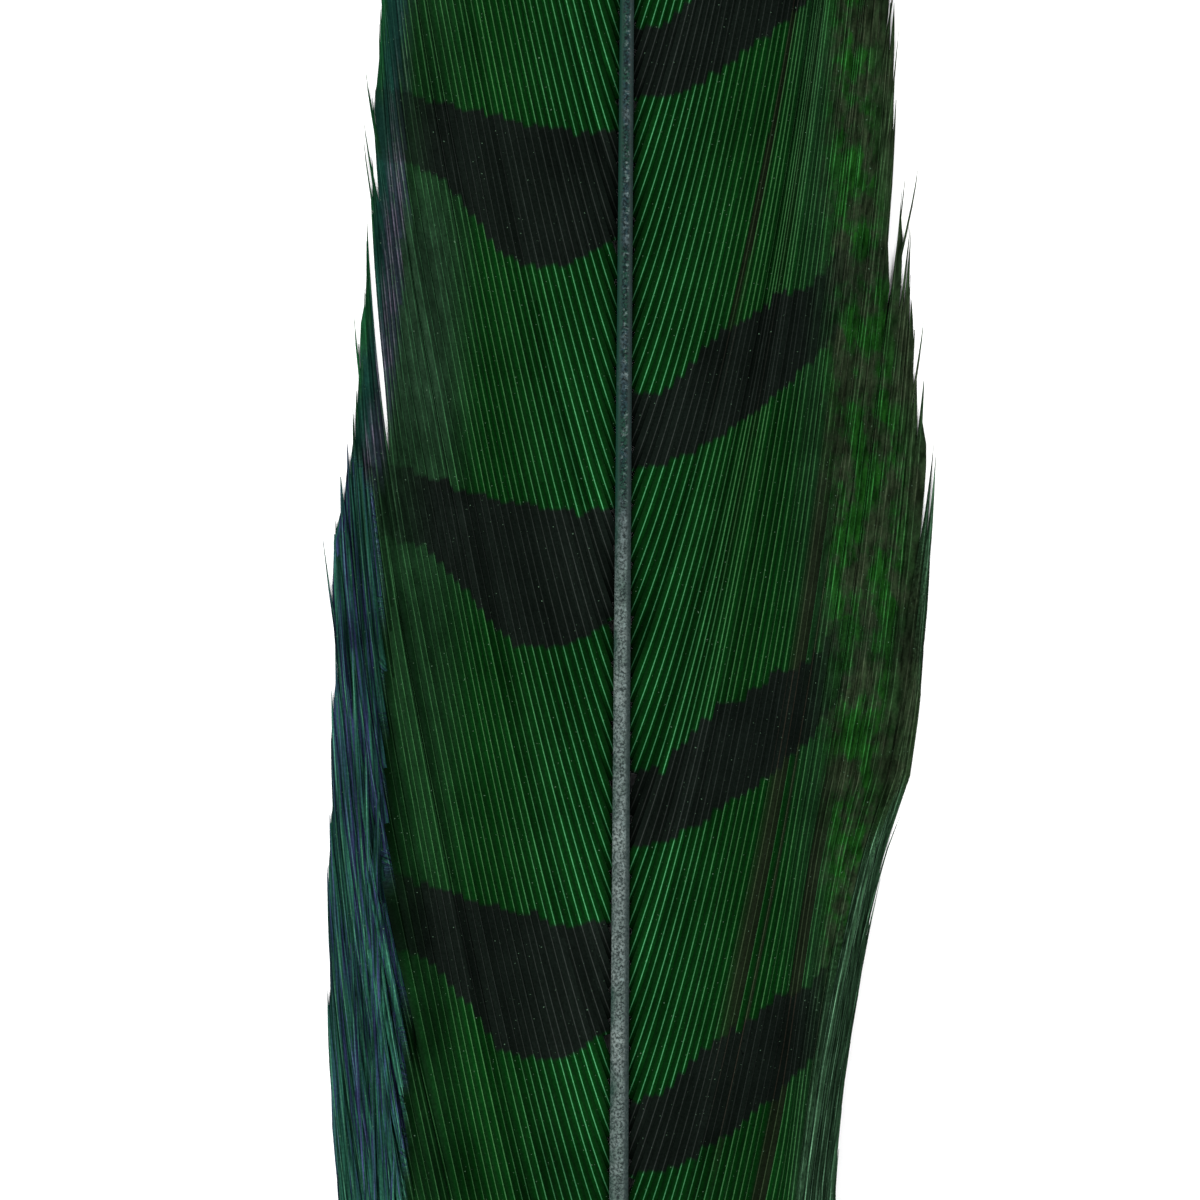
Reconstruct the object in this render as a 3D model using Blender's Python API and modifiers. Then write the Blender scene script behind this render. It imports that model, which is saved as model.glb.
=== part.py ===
"""A ring-necked pheasant's tail feather, dyed green, lying on a table with its upper side up.

Metres, +Z up, +Y from the quill end to the tip, and +X to the right as seen from above. The middle
of the feather's length is at y = 0. A station is a distance along the shaft from the quill end.

The shaft is one solid. Each vane is a row of barbs that hooklets zip together into webs, and a web
ends where two neighbouring barbs have come unzipped, so each web is a solid of its own. Soft down
fills both sides of the shaft between the bare quill and the first firm barbs.
"""

import math

import bmesh
import bpy
import numpy as np

# Driving dimensions.
FEATHER_LENGTH = 0.480  # quill end to the furthest barb tip
QUILL_WIDTH = 0.0033  # the bare quill, which is as deep as it is wide
THINNING = 3.9  # the share of its width that the shaft loses over each metre, compounded
SHAFT_BOW = 0.0030  # how far the underside of the shaft arches off the table
SIDE_BEND = 0.0195  # sideways curve of the shaft: metres out, per square metre along

# Stations along the shaft.
QUILL_SHOULDER = 0.008  # the rounded quill end is full width from here on
QUILL_TOP = 0.032  # the bare quill ends and the down starts
DOWN_TOP = 0.072
FIRST_BARB = 0.075
LEFT_SPLIT = 0.2785
RIGHT_LOWER_SPLIT = 0.231
RIGHT_UPPER_SPLIT = 0.268
TIP_TAPER = 0.400  # from here to its end the shaft thins faster
LAST_BARB = 0.468
SHAFT_END = 0.470
BEND_MIDDLE = 0.150  # where the sideways bend runs parallel to the long axis

# Sections and clearances.
SHAFT_SIDES = 12
END_ROUNDING = 0.85  # how far the quill end closes in: 1 would be a point
TIP_SHARE = 0.6  # what the faster taper leaves of the shaft's width at its end
ATTACHED_AT = 0.62  # barbs leave the shaft this share of the way up its side
WEB_THICKNESS = 0.0005
DOWN_THICKNESS = 0.0022
TABLE_GAP = 0.00005  # between the margins' undersides and the table
CLEARANCE = 0.0003  # between a web and the shaft
SPLIT_AT_ROOT = 0.0004  # half of an open split, measured along the shaft
SPLIT_AT_MARGIN = 0.0026
DROOP = 1.8  # how the vane's height falls off, as a power of the share of its width

# A barb leaves the shaft steeply and ends almost parallel to it: share of its length, degrees.
BARB_SHARES = (0.0, 0.02, 0.08, 0.16, 0.27, 0.38, 0.50, 0.58, 0.70, 0.85, 1.0)
BARB_ANGLES = (24.0, 20.0, 17.0, 14.8, 13.0, 12.0, 11.1, 10.2, 8.2, 5.2, 2.2)

# The length of a barb, and how many times those angles it is splayed, by the station of its root.
LENGTH_STATIONS = (0.032, 0.050, 0.072, 0.110, 0.160, 0.200, 0.250, 0.290, 0.325, 0.360, 0.400, 0.430, 0.455, 0.468)
LENGTHS = (0.013, 0.020, 0.030, 0.048, 0.070, 0.086, 0.095, 0.093, 0.087, 0.077, 0.061, 0.045, 0.024, 0.0125)
SPLAY_STATIONS = (0.032, 0.072, 0.110, 0.160, 0.220, 0.265, 0.330, 0.364, 0.468)
SPLAYS = (3.2, 2.5, 1.7, 1.25, 1.08, 1.02, 0.97, 0.91, 0.95)

# Each web: its name, its first and last root, and at each of those roots a factor on the splay and
# the share of the barb's length that wear has left.
LEFT_WEBS = (
    ("web_lower", FIRST_BARB, LEFT_SPLIT, (1.0, 1.0), (1.0, 1.0)),
    ("web_upper", LEFT_SPLIT, LAST_BARB, (0.96, 1.0), (1.0, 1.0)),
)
RIGHT_WEBS = (
    ("web_lower", FIRST_BARB, RIGHT_LOWER_SPLIT, (1.0, 1.0), (1.0, 0.62)),
    ("web_middle", RIGHT_LOWER_SPLIT, RIGHT_UPPER_SPLIT, (1.03, 1.0), (1.0, 1.0)),
    ("web_upper", RIGHT_UPPER_SPLIT, LAST_BARB, (0.94, 1.0), (1.0, 1.0)),
)
DOWN = ("down", QUILL_TOP, DOWN_TOP, (1.0, 1.0), (1.0, 1.0))

# How finely the solids are cut up.
POINTS_ALONG_BARB = 15
ROW_SPACING = 0.010  # along the shaft
FEWEST_ROWS = 4
END_RINGS = 6  # round the quill end
RING_SPACING = 0.0135
PATH_STEPS = 200  # for adding up a barb's bends

# Colour, roughness and metallic value of each material.
HORN = ((0.10, 0.16, 0.14, 1.0), 0.35, 0.0)
GREEN_BARBS = ((0.012, 0.075, 0.020, 1.0), 0.45, 0.0)
GREY_GREEN_DOWN = ((0.10, 0.20, 0.12, 1.0), 0.9, 0.0)


def shaft_x(station):
    """Sideways place of the shaft's middle."""
    return SIDE_BEND * (station - BEND_MIDDLE) ** 2


def shaft_width(station):
    """A rounded end, an even quill, then a shaft that thins by the same share in every stretch."""
    if station < QUILL_SHOULDER:
        rounding = 1 - station / QUILL_SHOULDER
        return QUILL_WIDTH * math.sqrt(1 - END_ROUNDING * rounding**2)
    width = QUILL_WIDTH * math.exp(-THINNING * max(0.0, station - QUILL_TOP))
    tip = max(0.0, (station - TIP_TAPER) / (SHAFT_END - TIP_TAPER))
    return width * (1 - (1 - TIP_SHARE) * tip)


def shaft_underside(station):
    """Height of the shaft's underside: flat under the quill, then one long low arch."""
    along = min(max((station - QUILL_TOP) / (SHAFT_END - QUILL_TOP), 0.0), 1.0)
    rounded_end = (QUILL_WIDTH - shaft_width(min(station, QUILL_SHOULDER))) / 2
    return SHAFT_BOW * math.sin(math.pi * along) ** 2 + rounded_end


def attachment_height(station):
    return shaft_underside(station) + ATTACHED_AT * shaft_width(station)


def barb_path(splay):
    """Places along a barb one metre long, as its sideways and forward reach at even steps."""
    steps = np.linspace(0, 1, PATH_STEPS + 1)
    bend = np.radians(np.interp(steps, BARB_SHARES, BARB_ANGLES)) * splay
    middle = (bend[1:] + bend[:-1]) / 2
    sideways = np.concatenate([[0], np.cumsum(np.sin(middle))]) / PATH_STEPS
    forward = np.concatenate([[0], np.cumsum(np.cos(middle))]) / PATH_STEPS
    return steps, sideways, forward


def barb_point(side, root, share, splay_factor, lowest):
    """The point at a share of the length of the barb that grows at root, on side -1 (left) or +1."""
    splay = splay_factor * float(np.interp(root, SPLAY_STATIONS, SPLAYS))
    steps, sideways, forward = barb_path(splay)
    length = float(np.interp(root, LENGTH_STATIONS, LENGTHS))
    out = float(np.interp(share, steps, sideways))
    start = shaft_width(root) / 2 + CLEARANCE
    drop = attachment_height(root) - lowest
    height = attachment_height(root) - drop * (out / sideways[-1]) ** DROOP
    return (
        shaft_x(root) + side * (start + length * out),
        root + length * float(np.interp(share, steps, forward)) - FEATHER_LENGTH / 2,
        max(height, lowest),
    )


def add_part(name, mesh, collection, material):
    part = bpy.data.objects.new(name, mesh)
    part.data.materials.append(material)
    collection.objects.link(part)
    return part


def make_web(side, side_name, web, thickness, collection, material):
    """A thin curved sheet between two barbs: a grid laid over the barbs' paths, then given a thickness."""
    part_name, first, last, splays, left = web
    rows = max(FEWEST_ROWS, round((last - first) / ROW_SPACING))
    sheet = bmesh.new()
    bmesh.ops.create_grid(sheet, x_segments=POINTS_ALONG_BARB - 1, y_segments=rows - 1, size=1)
    for corner in sheet.verts:
        share, row = (corner.co.x + 1) / 2, (corner.co.y + 1) / 2
        split = SPLIT_AT_ROOT + SPLIT_AT_MARGIN * share**2
        root = first + split + row * (last - first - 2 * split)
        splay_factor = splays[0] + row * (splays[1] - splays[0])
        share *= left[0] + row * (left[1] - left[0])
        corner.co = barb_point(side, root, share, splay_factor, thickness / 2 + TABLE_GAP)
    bmesh.ops.recalc_face_normals(sheet, faces=sheet.faces)
    name = f"{side_name}_{part_name}"
    mesh = bpy.data.meshes.new(name)
    sheet.to_mesh(mesh)
    sheet.free()
    part = add_part(name, mesh, collection, material)
    solid = part.modifiers.new("thickness", "SOLIDIFY")
    solid.thickness = thickness
    solid.offset = 0
    return part


def ring_stations():
    """Rings stand close together round the quill end, and evenly along the rest."""
    turns = np.linspace(0, math.pi / 2, END_RINGS + 1)
    end = QUILL_SHOULDER * (1 - np.cos(turns))
    quill = np.linspace(QUILL_SHOULDER, QUILL_TOP, 3)
    rachis = np.linspace(QUILL_TOP, SHAFT_END, round((SHAFT_END - QUILL_TOP) / RING_SPACING))
    return [float(station) for station in (*end, *quill[1:], *rachis[1:])]


def make_shaft(collection, material):
    """Quill and rachis in one: a capped tube of rings, each ring an even polygon with a flat underside."""
    stations = ring_stations()
    tube = bmesh.new()
    bmesh.ops.create_cone(
        tube, cap_ends=True, segments=SHAFT_SIDES, radius1=1, radius2=1, depth=1
    )
    upright = [edge for edge in tube.edges if abs(edge.verts[0].co.z - edge.verts[1].co.z) > 0.5]
    bmesh.ops.subdivide_edges(tube, edges=upright, cuts=len(stations) - 2)
    half_side = math.pi / SHAFT_SIDES
    for corner in tube.verts:
        station = stations[round((corner.co.z + 0.5) * (len(stations) - 1))]
        side_number = round(math.atan2(corner.co.y, corner.co.x) / (2 * half_side))
        angle = (2 * side_number + 1) * half_side
        radius = shaft_width(station) / 2
        corner.co = (
            shaft_x(station) + radius * math.cos(angle),
            station - FEATHER_LENGTH / 2,
            shaft_underside(station) + radius * (math.cos(half_side) + math.sin(angle)),
        )
    bmesh.ops.recalc_face_normals(tube, faces=tube.faces)
    mesh = bpy.data.meshes.new("shaft")
    tube.to_mesh(mesh)
    tube.free()
    part = add_part("shaft", mesh, collection, material)
    part.data.shade_smooth()
    part.data.set_sharp_from_angle(angle=math.radians(40))
    return part


def make_material(name, look):
    colour, roughness, metallic = look
    material = bpy.data.materials.new(name)
    material.use_nodes = True
    shader = material.node_tree.nodes["Principled BSDF"]
    shader.inputs["Base Color"].default_value = colour
    shader.inputs["Roughness"].default_value = roughness
    shader.inputs["Metallic"].default_value = metallic
    return material


def main():
    for old in list(bpy.data.objects):
        bpy.data.objects.remove(old)
    feather = bpy.data.collections.new("pheasant_tail_feather")
    bpy.context.scene.collection.children.link(feather)
    make_shaft(feather, make_material("horn", HORN))
    for side, side_name, webs in ((-1, "left", LEFT_WEBS), (1, "right", RIGHT_WEBS)):
        for web in webs:
            green = make_material(f"{side_name}_{web[0]}_barbs", GREEN_BARBS)
            make_web(side, side_name, web, WEB_THICKNESS, feather, green)
        grey = make_material(f"{side_name}_down_barbs", GREY_GREEN_DOWN)
        make_web(side, side_name, DOWN, DOWN_THICKNESS, feather, grey)


main()
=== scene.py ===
# %% [markdown]
# # A pheasant's tail feather, dyed green
#
# A tail feather is one horny shaft with a row of barbs along each side. Every barb is itself a tiny
# feather: a stiff rib with a soft fringe on both sides, and the fringes of neighbours hook together
# into a smooth vane. Nearly everything the eye sees here is barbs, so this lesson is about making
# several hundred of them well: each with its own curve, its own markings and its own loose tip.
#
# The construction was settled elsewhere and is loaded as a fixed frame. Here it only gets its looks.

import math
from functools import partial

import bpy
import numpy as np
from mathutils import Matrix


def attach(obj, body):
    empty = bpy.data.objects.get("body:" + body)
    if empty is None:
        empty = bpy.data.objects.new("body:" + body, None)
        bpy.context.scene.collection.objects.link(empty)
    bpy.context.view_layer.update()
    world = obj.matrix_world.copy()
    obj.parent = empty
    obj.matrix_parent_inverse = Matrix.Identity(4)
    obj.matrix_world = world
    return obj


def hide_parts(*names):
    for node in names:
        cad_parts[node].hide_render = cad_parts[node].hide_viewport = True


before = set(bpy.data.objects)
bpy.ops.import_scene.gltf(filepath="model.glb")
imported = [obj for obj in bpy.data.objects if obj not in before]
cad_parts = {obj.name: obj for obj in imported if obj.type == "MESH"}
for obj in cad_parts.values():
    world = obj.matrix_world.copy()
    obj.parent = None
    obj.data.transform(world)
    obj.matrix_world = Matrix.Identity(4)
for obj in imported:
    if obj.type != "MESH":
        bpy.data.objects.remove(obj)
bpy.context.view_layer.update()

# %% [markdown]
# ## Where things are
#
# A station is a distance along the shaft from the quill end, in metres. The shaft bends a little to
# one side and arches a little off the table, and it thins by the same share in every stretch, so
# three short formulas place it. They are the formulas the solids were built with.

# %% The shaft's line and width
MM = 0.001
FEATHER_LENGTH = 480 * MM
QUILL_WIDTH = 3.3 * MM
QUILL_SHOULDER = 8 * MM
QUILL_TOP = 32 * MM
DOWN_TOP = 72 * MM
FIRST_BARB = 75 * MM
TIP_TAPER = 400 * MM
LAST_BARB = 468 * MM
SHAFT_END = 470 * MM
THINNING = 3.9
TIP_SHARE = 0.6
END_ROUNDING = 0.85
SHAFT_BOW = 3.0 * MM
SIDE_BEND = 0.0195
BEND_MIDDLE = 150 * MM
ATTACHED_AT = 0.62


def shaft_x(station):
    return SIDE_BEND * (station - BEND_MIDDLE) ** 2


def shaft_width(station):
    width = QUILL_WIDTH * np.exp(-THINNING * np.maximum(0, station - QUILL_TOP))
    tip = np.maximum(0, (station - TIP_TAPER) / (SHAFT_END - TIP_TAPER))
    rounding = 1 - np.minimum(station / QUILL_SHOULDER, 1)
    return width * (1 - (1 - TIP_SHARE) * tip) * np.sqrt(1 - END_ROUNDING * rounding**2)


def shaft_underside(station):
    along = np.clip((station - QUILL_TOP) / (SHAFT_END - QUILL_TOP), 0, 1)
    rounded_end = (QUILL_WIDTH - shaft_width(np.minimum(station, QUILL_SHOULDER))) / 2
    return SHAFT_BOW * np.sin(math.pi * along) ** 2 + rounded_end


def smooth(value, start, end):
    """0 before start, 1 after end, and an even S-curve between."""
    share = np.clip((value - start) / (end - start), 0, 1)
    return share * share * (3 - 2 * share)


print("Shaft width in mm at the quill, middle and tip:", shaft_width(np.array([0.02, 0.24, 0.46])) / MM)

# %% [markdown]
# ## How a barb grows
#
# A barb leaves the shaft steeply and turns until it runs almost along the margin. Adding up small
# steps of a turning angle gives that curve directly, for all barbs of a side at once, where a drawn
# curve per barb would take hundreds of control points. Each barb is then eased so that it ends on the
# feather's margin. Loose ends curl back over the vane, a slit opens, and one lock is squeezed together.

# %% The barbs of one side
PITCHES = {"left": 1.84 * MM, "right": 1.77 * MM}  # from one barb to the next, along the shaft
STEPS = 72  # points along a barb
FINE = 480  # steps used to add up its curve
# The angle between a barb and the shaft, in degrees, by share of the barb's length.
ANGLES = {
    "left": (
        (0, 0.02, 0.08, 0.20, 0.32, 0.44, 0.58, 0.69, 0.80, 0.90, 1.0),
        (24, 20, 17, 14.8, 13.4, 12.6, 12.0, 11.5, 8.8, 5.5, 2.0),
    ),
    "right": (
        (0, 0.02, 0.08, 0.16, 0.25, 0.36, 0.47, 0.58, 0.70, 0.85, 1.0),
        (24, 20, 17, 14.6, 12.2, 11.3, 10.2, 9.0, 8.0, 6.0, 3.0),
    ),
}
# That angle is multiplied by this, by the station of the barb's root.
SPLAYS = {
    "left": (
        (0.032, 0.072, 0.110, 0.160, 0.220, 0.250, 0.280, 0.330, 0.364, 0.445, 0.468),
        (3.2, 2.5, 1.7, 1.25, 1.08, 1.04, 0.99, 0.95, 0.91, 0.93, 0.25),
    ),
    "right": (
        (0.032, 0.072, 0.110, 0.160, 0.220, 0.265, 0.288, 0.304, 0.316, 0.328, 0.346, 0.364, 0.445, 0.468),
        (3.2, 2.5, 1.7, 1.25, 1.08, 1.03, 0.98, 0.90, 0.98, 1.02, 0.93, 0.91, 0.93, 0.25),
    ),
}
LENGTHS = {
    "left": (
        (
            0.032, 0.050, 0.072, 0.110, 0.160, 0.200, 0.225, 0.255,
            0.275, 0.325, 0.360, 0.400, 0.430, 0.455, 0.468,
        ),
        (13, 20, 30, 47, 66, 78, 81, 81, 77.5, 74, 68, 57, 43, 24, 12.5),
    ),
    "right": (
        (0.032, 0.050, 0.072, 0.110, 0.160, 0.200, 0.250, 0.290, 0.325, 0.360, 0.400, 0.430, 0.455, 0.468),
        (13, 20, 30, 48, 70, 86, 95, 93, 87, 77, 61, 45, 24, 12.5),
    ),
}
# How far out from the shaft, in mm, the barbs end, by the station of their roots.
MARGIN = {
    "left": (
        (
            0.075, 0.160, 0.213, 0.225, 0.232, 0.245, 0.2575, 0.2605, 0.2665,
            0.2735, 0.283, 0.2915, 0.325, 0.360, 0.400, 0.430, 0.455, 0.468,
        ),
        (
            15.0, 16.6, 17.5, 18.05, 18.45, 18.0, 18.2, 17.5, 16.8,
            16.3, 16.0, 15.55, 14.8, 13.2, 10.9, 7.8, 3.2, 0.25,
        ),
    ),
    "right": (
        (
            0.075, 0.160, 0.200, 0.2246, 0.2309, 0.2311, 0.2353, 0.240, 0.2459, 0.249, 0.253,
            0.2605, 0.264, 0.272, 0.300, 0.325, 0.360, 0.400, 0.430, 0.455, 0.468,
        ),
        (
            14.5, 15.6, 16.9, 17.5, 17.4, 17.8, 18.4, 19.2, 19.4, 18.9, 18.2,
            17.8, 17.3, 16.9, 15.0, 15.2, 12.7, 10.1, 7.1, 3.0, 0.20,
        ),
    ),
}
# How far, in mm, a stray tip stands out, and how far a slit has opened like a lens.
FLARE = {
    "left": ((0.075, 0.468), (0, 0)),
    "right": (
        (0.2215, 0.2245, 0.2262, 0.2264, 0.2625, 0.2660, 0.2679, 0.2681),
        (0, 0.2, 0.9, 0, 0, 0.5, 2.2, 0),
    ),
}
STRAYS = {"left": 0.20, "right": 0.07}  # the share of tips that stand out by themselves
STRAY_REACH = (0.3 * MM, 0.9 * MM)
SLIT = {
    "left": ((0.268, 0.2784, 0.2786, 0.292), (0, 0.08, -0.32, 0)),
    "right": ((0.075, 0.468), (0, 0)),
}
TEAR = {"left": 0.2785, "right": 0.268}
TEAR_FROM = {"left": 0.76, "right": 0.86}  # by share of the barb's length
# How strongly every second barb, where they are loose, may curl back over the vane, in degrees.
CURL = {
    "left": ((0.075, 0.130, 0.190, 0.235, 0.250, 0.257, 0.262), (0, 3, 7, 9, 8, 4, 0)),
    "right": ((0.075, 0.468), (0, 0)),
}
PARTING_CURL = 5.0  # barbs that may curl this much have all come apart
# Where the right vane's outer part is squeezed into a lock, by station: how much, from where on.
LOCK = (
    (0.235, 0.262, 0.278, 0.2935, 0.300, 0.305, 0.310, 0.3144, 0.319, 0.324),
    (0, 0.6, 1, 1, 0.84, 0.67, 0.5, 0.33, 0.07, 0),
)
LOCK_FROM = 10.0 * MM
LOCK_SOFTNESS = 1.5 * MM  # the squeeze sets in over this width
LOCK_SQUEEZE = 0.62
SHADED_FOLDS = {"left": 1.5, "right": 0.55}  # higher for fewer barbs darker and browner with painted shade of folds
SIDES = {"left": -1, "right": 1}


def wander(chance, places, spacing):
    """Smooth random values along the shaft that change over about that spacing."""
    knots = np.arange(places.min() - spacing, places.max() + 2 * spacing, spacing)
    return np.interp(places, knots, chance.normal(size=len(knots)))


def grow(side, first, last, seed):
    """The roots and habits of one side's barbs, as arrays with one value per barb."""
    chance = np.random.default_rng(seed)
    pitch = PITCHES[side]
    count = round((last - first) / pitch)
    roots = first + pitch * (np.arange(count) + 0.5) + pitch * 0.05 * chance.normal(size=count)
    clumped = np.clip(0.45 + 0.33 * wander(chance, roots, 9 * MM) + 0.08 * chance.normal(size=count), 0, 1)
    loose = np.arange(count) % 2
    curl = np.interp(roots, *CURL[side])
    folding = wander(chance, roots, 3 * MM)
    astray = (chance.uniform(0, 1, count) < STRAYS[side]) * chance.uniform(*STRAY_REACH, count)
    return {
        "side": side,
        "pitch": pitch,
        "root": roots,
        "length": np.interp(roots, *LENGTHS[side]) * MM * (1 + 0.010 * chance.normal(size=count)),
        "splay": np.interp(roots, *SPLAYS[side]) * (1 + 0.005 * wander(chance, roots, 6 * MM)),
        "curl": curl * clumped * loose,
        "parted": np.clip(curl / PARTING_CURL, 0, 1),
        "freed": np.clip(curl / PARTING_CURL, 0, 1) * loose,
        "margin": np.interp(roots, *MARGIN[side]) * MM,
        "flare": np.interp(roots, *FLARE[side]) * MM * chance.uniform(0.7, 1.3, count) + astray,
        "slit": np.interp(roots, *SLIT[side]) * MM,
        "stray": 0.06 * MM * chance.normal(size=count) + 0.10 * MM * wander(chance, roots, 5 * MM),
        "tone": np.clip(0.5 + 0.16 * chance.normal(size=count), 0, 1),
        "hue": chance.uniform(0, 1, count),
        "groove": smooth(folding, SHADED_FOLDS[side], SHADED_FOLDS[side] + 0.4),
        "low_edge": 0.12 * MM * chance.normal(size=count),
        "high_edge": 0.14 * MM * chance.normal(size=count),
    }


def added_up(degrees, length):
    """How far out and how far forward a path of turning steps has come."""
    angle = np.radians((degrees[:, 1:] + degrees[:, :-1]) / 2)
    start = np.zeros((len(degrees), 1))
    steps = (np.sin(angle), np.cos(angle))
    return [np.hstack([start, np.cumsum(step, axis=1)]) / FINE * length for step in steps]


def curves(barbs):
    """Each barb's curve at FINE + 1 even shares of its length: out from the shaft's middle, and station."""
    share = np.linspace(0, 1, FINE + 1)
    length, root = barbs["length"][:, None], barbs["root"][:, None]
    start = 0.42 * shaft_width(root)
    fan = np.interp(share, *ANGLES[barbs["side"]]) * barbs["splay"][:, None]
    bend = smooth(share, 0.54, 0.72) - 0.45 * smooth(share, 0.80, 1.0)
    fan_end = added_up(fan, length)[0][:, -1:] + start
    out, forward = added_up(fan - barbs["curl"][:, None] * bend, length)
    station = root + forward
    out += start
    out += (barbs["margin"][:, None] - fan_end) * smooth(share, 0.30, 0.90)
    out += barbs["flare"][:, None] * smooth(share, 0.87, 1.02)
    out += barbs["slit"][:, None] * smooth(share, 0.76, 0.87) * (1 - smooth(share, 0.92, 1.05))
    out += barbs["stray"][:, None] * smooth(share, 0.55, 1.0)
    if barbs["side"] == "right":
        past = np.maximum(out - LOCK_FROM, 0)
        out -= LOCK_SQUEEZE * np.interp(station, *LOCK) * past**2 / (past + LOCK_SOFTNESS)
    return share, out, station


left = grow("left", FIRST_BARB, LAST_BARB, seed=11)
right = grow("right", FIRST_BARB, LAST_BARB, seed=12)
print("Barbs:", len(left["root"]), "left,", len(right["root"]), "right")

# %% [markdown]
# ## The black bars
#
# On the bird the bars are pigment that was laid down in every barb while it grew, so their borders
# step from barb to barb like teeth. The pattern is therefore stored on the barbs: a bar is two
# border curves, heights along the shaft by distance out from it, and each barb shifts them a little.
# A texture laid over the whole vane would run straight across the barbs and lose those teeth.

# %% Bars as border curves
BAR_LOW = {
    "left": (
        (0, 0.6, 1.5, 3.0, 5.0, 6.5, 7.8, 9.2, 10.6, 12.0, 14.0),
        (2.1, 1.9, 1.4, 0.4, 0, 0.4, 1.3, 3.2, 4.8, 6.2, 7.0),
    ),
    "right": ((0, 3.0, 4.8, 6.5, 8.0, 9.8, 11.7, 13.4, 15.0), (0, 0.5, 1.4, 2.6, 3.7, 5.1, 6.9, 9.0, 11.5)),
}
BAR_HIGH = {
    "left": ((0, 2.6, 5.0, 8.0, 11.3, 14.0), (8.9, 8.5, 8.9, 9.6, 10.5, 11.6)),
    "right": (
        (0, 2.6, 4.5, 6.0, 7.3, 8.4, 9.6, 11.0, 12.3, 13.3, 15.0),
        (4.4, 5.0, 7.1, 8.8, 9.1, 9.9, 11.2, 11.2, 12.3, 14.0, 14.5),
    ),
}
# The station, in mm, at which each bar starts.
BAR_STARTS = {
    "left": (
        88, 106, 124, 143, 163, 184, 206, 229, 252.5, 277,
        301.4, 326.9, 350.6, 373.5, 395, 415, 433, 449,
    ),
    "right": (
        79, 97, 115, 134, 153, 173, 194, 215, 236, 255,
        274, 294.2, 314.6, 338, 361, 383, 404, 424, 442, 457,
    ),
}
# Past this far out the bars have faded.
BAR_REACH = {"left": 14.2 * MM, "right": 13.4 * MM}
BAR_SIZES = ((0.075, 0.120, 0.170, 0.365, 0.470), (0.65, 0.85, 1.0, 1.0, 0.45))  # by station


def in_a_bar(side, out, station, low_shift, high_shift):
    """True where a point of a barb lies inside a black bar."""
    inside = np.zeros(out.shape, bool)
    for start in BAR_STARTS[side]:
        size = np.interp(start * MM, *BAR_SIZES)
        low = np.interp(out / MM / size, *BAR_LOW[side]) * size * MM
        high = np.interp(out / MM / size, *BAR_HIGH[side]) * size * MM
        along = station - start * MM
        inside |= (along > low + low_shift) & (along < high + high_shift)
    return inside


print("Bars:", len(BAR_STARTS["left"]), "left,", len(BAR_STARTS["right"]), "right")

# %% [markdown]
# A barb's points are spread evenly along it, and then the two points nearest each border are moved
# to just before and just after it. The mark is stored on the points, so its border comes out a quarter
# of a millimetre wide, with no more points than an unmarked barb has.

# %% Points along the barbs
BORDER = 0.13 * MM


def spaced_shares(barbs, share, inside):
    """For each barb, STEPS shares of its length, in pairs close round each border of a bar."""
    spaced = np.tile(np.linspace(0, 1, STEPS), (len(inside), 1))
    for row, (marks, length) in enumerate(zip(inside, barbs["length"])):
        for crossing in np.flatnonzero(marks[1:] != marks[:-1]):
            at = (share[crossing] + share[crossing + 1]) / 2
            after = int(np.clip(np.searchsorted(spaced[row], at), 1, STEPS - 2))
            spaced[row, after - 1] = max(at - BORDER / length, 0)
            spaced[row, after] = at + BORDER / length
        spaced[row] = np.sort(spaced[row])
    return spaced


def at_shares(values, share, spaced):
    return np.array([np.interp(row, share, line) for row, line in zip(spaced, values)])


# %% [markdown]
# ## The barb's section
#
# Cut across, a barb is a small rib with a thin fringe sloping off on either side. Seven points over
# the top and two under the rib make a closed strip of that shape. The fringe nearer the tip is raised
# and the other lowered, as on a tiled roof, so neighbours overlap and never fight for one height.

# %% Building the strips
ACROSS = np.array([-1.0, -0.5, -0.16, 0.0, 0.16, 0.5, 1.0, 0.10, -0.10])
CREST = np.array([0, 0, 0, 1.0, 0, 0, 0, 0, 0])
BAKE_ROW = np.array([0, 0.20, 0.36, 0.43, 0.50, 0.66, 0.86, 0.91, 0.95, 1.0])
SECTION = len(ACROSS)
LOWEST = 0.06 * MM  # a fringe comes no closer to the table than this
OPENS_AT = {"left": 0.80 * MM, "right": 0.90 * MM}  # neighbours further apart have come unhooked
OPENS_NEAR_SHAFT = 2 * MM  # the same near the shaft, where no gap is so wide
COVER = 0.62  # the share of the gap to a neighbour that a fringe covers
FRINGE = (0.07 * MM, 0.45 * MM)  # a fringe's narrowest and widest on the side nearer the tip
UNDER = (0.14 * MM, 0.55 * MM)  # and on the side nearer the quill
LOOSE_FRINGE, LOOSE_UNDER = 0.14 * MM, 0.36 * MM  # the same two on a loose strand
RIB, LOOSE_RIB = 0.047 * MM, 0.067 * MM  # half the width of a rib, and of a loose strand's
LOOSE_LIFT = 0.45 * MM  # loose strands lie this high over the vane
ROOF = 0.035 * MM  # how much a fringe rises over the gap to the next barb


def distance_to(other_out, other_station, out, station, turn):
    """How far each point of a barb is from a neighbour, square to the barb; zero past its ends."""
    there = np.interp(station, other_station, other_out)
    inside = (station >= other_station[0]) & (station <= other_station[-1])
    return np.where(inside, np.abs(out - there) * np.cos(turn), 0)


def neighbour_gaps(rows, out, station, turn):
    """The gaps to the neighbours nearer the quill and nearer the tip, among the barbs in rows."""
    below, above = np.zeros_like(out), np.zeros_like(out)
    for low, high in zip(rows[:-1], rows[1:]):
        above[low] = distance_to(out[high], station[high], out[low], station[low], turn[low])
        below[high] = distance_to(out[low], station[low], out[high], station[high], turn[high])
    return below, above


def looseness(barbs, spaced):
    """1 on the outer stretch of a barb that has come away from the vane and lies over it."""
    return barbs["freed"][:, None] * smooth(spaced, 0.56, 0.68)


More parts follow.
